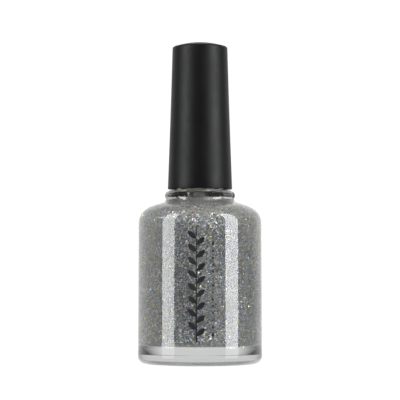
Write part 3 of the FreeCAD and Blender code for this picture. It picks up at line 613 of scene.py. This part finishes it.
def build_flakes(skin):
    """Six-sided flakes scattered over the skin of the lacquer, evenly by area."""
    areas = [0.0]
    for start, end in zip(skin, skin[1:]):
        areas.append(areas[-1] + math.dist(start, end) * (start[0] + end[0]) / 2)

    def skin_at(share):
        """Point and outward normal, as r, z, normal r, normal z."""
        want = share * areas[-1]
        i = max(1, bisect.bisect_left(areas, want, 0, len(areas) - 1))
        u = (want - areas[i - 1]) / (areas[i] - areas[i - 1])
        start, end = skin[i - 1], skin[i]
        dr, dz = end[0] - start[0], end[1] - start[1]
        length = math.hypot(dr, dz)
        return start[0] + dr * u, start[1] + dz * u, dz / length, -dr / length

    verts, faces, tints = [], [], []
    for _ in range(9900):
        r, z, normal_r, normal_z = skin_at(rng.random())
        angle = rng.random() * 2 * math.pi
        radial = Vector((math.cos(angle), math.sin(angle), 0))
        outward = (radial * normal_r + Vector((0, 0, normal_z))).normalized()
        tilt = Vector((rng.gauss(0, 1), rng.gauss(0, 1), rng.gauss(0, 1))) * FLAKE_TILT
        normal = (outward + tilt).normalized()
        across = Matrix.Rotation(rng.random() * 6.283, 3, normal) @ normal.orthogonal().normalized()
        along = normal.cross(across)
        large = rng.random() > 0.90
        size = FLAKE_R + FLAKE_R_SPREAD * rng.random() + (FLAKE_R_EXTRA if large else 0.0)
        lift = FLAKE_LIFT + 0.5 * size * min(1.0, tilt.length)
        centre = radial * r + Vector((0, 0, z)) + outward * lift

        base = len(verts)
        for offset in (-FLAKE_HALF_THICK, FLAKE_HALF_THICK):
            for k in range(6):
                turn = k * math.pi / 3
                arm = (across * math.cos(turn) + along * math.sin(turn)) * size
                verts.append(tuple(centre + arm + normal * offset))
        faces.append([base + k for k in range(5, -1, -1)])
        faces.append([base + 6 + k for k in range(6)])
        for k in range(6):
            n = (k + 1) % 6
            faces.append([base + k, base + n, base + 6 + n, base + 6 + k])

        draw = rng.random()
        brightness = 0.50 + 0.50 * rng.random()
        tint = next(color for limit, color in FLAKE_TINTS if draw < limit)
        tints += [*(brightness * c for c in tint), 1.0] * 12

    flakes = add_mesh(
        "glitter_flakes", (verts, faces), FLAKE, "bottle", sharp=20.0)
    attribute = flakes.data.attributes.new("tint", "FLOAT_COLOR", "POINT")
    attribute.data.foreach_set("color", tints)


def build_mixing_balls():
    radius, centre_z, steps = 2.0, 6.58, 32
    angles = [math.pi * i / steps for i in range(steps + 1)]
    profile = [(radius * math.sin(a), centre_z - radius * math.cos(a)) for a in angles]
    verts, faces = lathe(profile, 48)
    balls = [
        ([(x + ball_x, y + ball_y, z) for x, y, z in verts], faces)
        for ball_x, ball_y in ((5.60, -3.10), (-4.90, 4.40))]
    add_mesh(
        "mixing_ball_pair", join(balls), STEEL, "bottle", sharp=60.0,
        replaces="mixing_balls")


def ink_print():
    """The printed decoration stays as the CAD solid, which is the ink's real outline."""
    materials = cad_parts["front_print"].data.materials
    materials.clear()
    materials.append(INK)


# ------------------------------------------------------------------ cap
CAP_FOOT_R, CAP_FOOT_Z = 7.82, 42.20
CAP_TOP_R, CAP_TOP_Z = 6.70, 76.40
CAP_EDGE = 0.12  # rounding of the lower outer edge
CAP_WALL = 0.68
CAP_WAIST = 0.05  # how far the side curves in at mid height
CAP_SLOPE = (CAP_FOOT_R - CAP_TOP_R) / (CAP_TOP_Z - CAP_FOOT_Z)
UPPER_STEP = 0.70  # the hollow is this much narrower above the insert
INSERT_GAP = 0.02


def cap_bore(z):
    """Inner radius of the cap shell."""
    return CAP_FOOT_R - CAP_WALL - CAP_SLOPE * (z - CAP_FOOT_Z)


def off_bore(z, gap=INSERT_GAP):
    """Point at a gap inside the cap's bore."""
    return cap_bore(z) - gap, z


def build_cap_shell():
    hollow = [
        (0.0, 75.40), off_bore(75.40, 1.20), (cap_bore(75.4) - UPPER_STEP, 74.90),
        off_bore(57.0, UPPER_STEP), off_bore(57.0), (cap_bore(57.0), 56.98),
        off_bore(50.0, 0.0), off_bore(42.45, 0.0),
        (cap_bore(CAP_FOOT_Z) + 0.10, 42.24), off_bore(CAP_FOOT_Z, -0.16),
    ]
    side_foot = CAP_FOOT_Z + CAP_EDGE
    rim = outline([
        (CAP_FOOT_R - CAP_EDGE, CAP_FOOT_Z, CAP_EDGE, 1, 4), (CAP_FOOT_R, side_foot)])
    # the side tapers with a very gentle curve
    side_steps = 24
    side = []
    for i in range(side_steps):
        u = i / side_steps
        r = CAP_FOOT_R + (CAP_TOP_R - CAP_FOOT_R) * u - CAP_WAIST * 4 * u * (1 - u)
        side.append((r, side_foot + (CAP_TOP_Z - side_foot) * u))
    # a low dome closes the top
    crown_r, crown_z, crown_rise, crown_steps = 6.12, 76.99, 0.96, 14
    shares = [1 - i / crown_steps for i in range(1, crown_steps + 1)]
    crown = [(crown_r * s, crown_z + crown_rise * (1 - s ** 2)) for s in shares]
    top_edge = outline([(CAP_TOP_R, CAP_TOP_Z, 0.62, 1, 10), (crown_r, crown_z)])
    shell = lathe(hollow + rim[:-1] + side + top_edge + crown, 192)

    ribs = [
        block(
            x=(4.30, cap_bore(68.0) - UPPER_STEP + 0.3), y=(-0.40, 0.40), z=(61.80, 75.45),
            chamfer=0.1, turn=k * math.pi / 3)
        for k in range(6)]
    add_mesh(
        "cap_shell", join([shell] + ribs), SOFT_TOUCH, "cap", sharp=32.0,
        replaces="outer_cap")


def build_insert():
    """Inner cap, with a thread inside and shallow grooves every 15 degrees outside."""
    bore = 6.42
    cap_thread = thread(start_z=47.70, turns=1.75, height=0.57, foot=0.43, crest=0.20)

    def push(r, z, angle):
        if 6.40 < r < 6.44 and 46.5 < z < 52.5:
            return -cap_thread(z, angle)
        if r > 6.7 and 44.2 < z < 53.0:
            away = abs((math.degrees(angle) + 7.5) % 15 - 7.5)
            return -0.18 * max(0.0, min(1.0, (2.6 - away) / 0.8))
        return 0.0

    profile = outline([
        # socket and seat of the brush
        (0.0, 59.90), (1.55, 59.90), (1.95, 59.50), (1.95, 55.37), (2.15, 55.17), (4.05, 55.17),
        # inside, downwards
        (4.05, 54.32), (6.02, 54.32), (bore, 53.92), (bore, 52.6, 0.09), (bore, 46.4),
        (bore, 43.55), (6.72, 42.95),
        # outside, upwards along the shell
        off_bore(42.95, 0.12), off_bore(43.25), off_bore(44.19), (*off_bore(44.30), 1.0),
        off_bore(52.90), off_bore(53.10), off_bore(56.67), off_bore(56.97, 0.32),
        # post on top
        (3.35, 56.97), (3.10, 57.22), (2.95, 60.95), (2.70, 61.20), (0.0, 61.20),
    ])
    webs = [
        block(x=(2.7, 5.0), y=(-0.4, 0.4), z=(56.7, 59.2), chamfer=0.1, turn=k * math.pi / 2)
        for k in range(4)]
    add_mesh(
        "threaded_insert", join([lathe(profile, 240, push)] + webs), INSERT, "cap",
        sharp=35.0, replaces="inner_cap")


def build_liner():
    """Flat ring resting on the lip of the bottle."""
    inner, outer, edge = 1.80, 5.50, 0.15
    low, high = BOTTLE_TOP, BOTTLE_TOP + 1.0
    profile = outline([
        (inner, low), (outer - edge, low, edge, 1, 4), (outer, low + edge),
        (outer, high - edge, edge, 1, 4), (outer - edge, high), (inner, high),
    ])
    add_mesh(
        "liner_disc", lathe(profile, 128, ring=True), LINER, "seal", sharp=35.0,
        replaces="seal_liner")


# ------------------------------------------------------------------ brush
ROD_FOOT = 21.50


def build_rod():
    def seam(r, z, angle):
        """Fine raised lines along the rod at +Y and -Y."""
        if not (22 < z < 54 and r > 1.5):
            return 0.0
        away = min(abs(angle - math.pi / 2), abs(angle - 1.5 * math.pi))
        return 0.02 * math.exp(-(away / 0.05) ** 2)

    profile = outline([
        # socket of the tuft
        (0.0, 26.20), (1.36, 25.95), (1.36, 21.70), (1.44, ROD_FOOT),
        # rod
        (1.62 - 0.16, ROD_FOOT, 0.16, 1, 4), (1.62, ROD_FOOT + 0.16, 2.0),
        (1.75, 49.50), (1.75, 54.17),
        # flange and plug
        (1.90, 54.32), (3.90, 54.32), (4.00, 54.42), (4.00, 55.02), (3.90, 55.12),
        (1.90, 55.12), (1.90, 59.20), (1.50, 59.60), (0.0, 59.60),
    ])
    add_mesh(
        "brush_rod", lathe(profile, 96, seam), STEM, "brush", sharp=32.0,
        replaces="brush_stem")


def build_anchor():
    strip = block(x=(-0.11, 0.11), y=(-1.50, 1.50), z=(23.20, 24.30), chamfer=0.03)
    add_mesh(
        "anchor_strip", strip, STRIP, "brush", sharp=32.0,
        replaces="tuft_anchor")


TUFT_R = 1.22
BRISTLE_R = 0.058
ANCHOR_CLEAR = 0.17  # least distance in x of a bristle's root from the anchor's middle
GOLDEN_ANGLE = 2.399963
ROOT_LEVELS = (23.90, 23.50, 23.12, 22.55, 21.95)  # z of the rings inside the rod
FREE_RINGS = 7  # from the last root level to the tip


def build_bristles():
    """Fine filaments parted by the anchor, with a slight belly, drawn in at the tip."""
    verts, faces = [], []
    count = 300
    for i in range(count):
        r = TUFT_R * math.sqrt((i + 0.5) / count)
        angle = i * GOLDEN_ANGLE
        x, y = r * math.cos(angle), r * math.sin(angle)
        root_x = math.copysign(ANCHOR_CLEAR, x) if abs(x) < ANCHOR_CLEAR else x
        tip = 7.40 + 1.9 * (r / TUFT_R) ** 2 + rng.uniform(0, 0.35)
        wobble, phase = rng.uniform(0.0, 0.05), rng.random() * 6.28
        free_top = ROOT_LEVELS[-1]
        levels = [*ROOT_LEVELS] + [
            free_top + (tip - free_top) * k / FREE_RINGS for k in range(1, FREE_RINGS + 1)]
        base = len(verts)
        for z in levels:
            down = max(0.0, (ROD_FOOT - z) / (ROD_FOOT - tip))  # 0 at the rod, 1 at the tip
            belly = 1.0 + 0.22 * math.sin(math.pi * min(1.0, down * 0.95)) - 0.16 * down * down
            # below the anchor the two halves close up
            close = max(0.0, min(1.0, (23.15 - z) / 1.20))
            sway_x = wobble * math.sin(3 * down + phase) * down
            sway_y = wobble * math.cos(2.3 * down + phase) * down
            cx = (root_x + (x - root_x) * close) * belly + sway_x
            cy = y * belly + sway_y
            thick = BRISTLE_R * (1.0 - 0.55 * max(0.0, down - 0.8) / 0.2)
            for k in range(6):
                turn = k * math.pi / 3
                verts.append((cx + thick * math.cos(turn), cy + thick * math.sin(turn), z))
        last = base + (len(levels) - 1) * 6
        for low in range(base, last, 6):
            for k in range(6):
                n = (k + 1) % 6
                faces.append([low + k, low + n, low + 6 + n, low + 6 + k])
        faces.append([base + k for k in range(6)])
        faces.append([last + k for k in range(5, -1, -1)])
    add_mesh(
        "bristle_tuft", (verts, faces), BRISTLE, "brush", sharp=50.0,
        replaces="bristles")


build_glass()
build_flakes(build_lacquer())
build_mixing_balls()
ink_print()
build_cap_shell()
build_insert()
build_liner()
build_rod()
build_anchor()
build_bristles()

# ------------------------------------------------------------------ stage, light, camera
BACKDROP = 1.05  # strength of the white the camera sees


def make_floor_material():
    """White for the camera; for other rays a lit strip that darkens to both sides."""
    m = new_material("pale_floor")
    is_camera = m.node("LightPath").outputs["Is Camera Ray"]
    across = m.calc("ABSOLUTE", m.axes(m.coords["Object"])["X"])
    tone = m.calc(
        "MULTIPLY",
        m.remap(m.noise(12.0), to=(0.62, 0.66)),
        m.remap(across, span=(0.030, 0.060), to=(1.0, 0.10)))
    strength = m.calc("MAXIMUM", m.calc("MULTIPLY", is_camera, BACKDROP), tone)
    light = m.node("Emission", {"Color": (1, 1, 1, 1), "Strength": strength}).outputs[0]
    from_below = m.node("NewGeometry").outputs["Backfacing"]
    clear = m.node("BsdfTransparent", {"Color": (1, 1, 1, 1)}).outputs[0]
    return m.finish(m.mix_shader(from_below, light, clear))


def build_floor():
    half, z = 3, -0.0002
    mesh = bpy.data.meshes.new("floor")
    corners = [(-half, -half, z), (half, -half, z), (half, half, z), (-half, half, z)]
    mesh.from_pydata(corners, [], [[0, 1, 2, 3]])
    floor = bpy.data.objects.new("floor", mesh)
    bpy.context.scene.collection.objects.link(floor)
    floor.data.materials.append(make_floor_material())
    floor.visible_glossy = False


def build_world():
    """White for the camera; otherwise bright behind the bottle (+Y) and dark elsewhere."""
    world = bpy.data.worlds.new("studio")
    bpy.context.scene.world = world
    m = Shader(world, output="OutputWorld")
    path = m.node("LightPath").outputs
    glow = m.remap(
        m.axes(m.coords["Generated"])["Y"], span=(0.22, 0.75), to=(0.035, 1.0),
        interpolation_type="SMOOTHSTEP")
    through_glass = m.remap(path["Is Transmission Ray"], span=(0.0, 1.0), to=(1.0, 0.62))
    strength = m.calc(
        "MAXIMUM",
        m.calc("MULTIPLY", glow, through_glass),
        m.calc("MULTIPLY", path["Is Camera Ray"], BACKDROP))
    background = m.node("Background", {"Strength": strength, "Color": (1, 1, 1, 1)})
    m.finish(background.outputs[0])


# Upright boxes of light: name, azimuth in degrees from the camera towards +X,
# width, low z, high z, watts per square metre.
SOFTBOX_DISTANCE = 0.60
SOFTBOXES = (
    ("box_left", -60.5, 0.272, -0.0182, 0.75, 28.4),
    ("box_right", 60.6, 0.285, -0.0182, 0.75, 32.8),
    ("foot_left", -60.5, 0.272, -0.070, -0.0182, 7.4),
    ("foot_right", 60.6, 0.285, -0.070, -0.0182, 8.4),
)


def build_softbox(name, azimuth, width, low, high, power):
    light = bpy.data.lights.new(name, "AREA")
    light.shape = "RECTANGLE"
    light.size = width
    light.size_y = high - low
    light.energy = power * width * (high - low)
    light.color = (0.970, 0.985, 1.0)
    ob = bpy.data.objects.new(name, light)
    bpy.context.scene.collection.objects.link(ob)
    a, z = math.radians(azimuth), (low + high) / 2
    place = Vector((math.sin(a) * SOFTBOX_DISTANCE, -math.cos(a) * SOFTBOX_DISTANCE, z))
    ob.location = place
    ob.rotation_euler = (Vector((0, 0, z)) - place).to_track_quat("-Z", "Y").to_euler()
    ob.visible_camera = False


def build_camera():
    lens = bpy.data.cameras.new("cam")
    lens.sensor_fit = "HORIZONTAL"
    lens.sensor_width = 36.0
    lens.lens = 162.0
    lens.clip_start = 0.01
    lens.clip_end = 20.0
    camera = bpy.data.objects.new("cam", lens)
    bpy.context.scene.collection.objects.link(camera)
    camera.location = (0.0, -0.437, 0.0238)
    camera.rotation_euler = (math.radians(90 + 2.07), 0, 0)  # level, then tipped up
    bpy.context.scene.camera = camera


def set_render():
    scene = bpy.context.scene
    scene.view_settings.view_transform = "Standard"
    scene.view_settings.look = "None"
    scene.cycles.use_denoising = True
    scene.cycles.max_bounces = 16
    scene.cycles.transmission_bounces = 14
    scene.cycles.transparent_max_bounces = 8
    scene.cycles.caustics_refractive = True
    scene.cycles.sample_clamp_indirect = 6.0


build_floor()
build_world()
for softbox in SOFTBOXES:
    build_softbox(*softbox)
build_camera()
set_render()
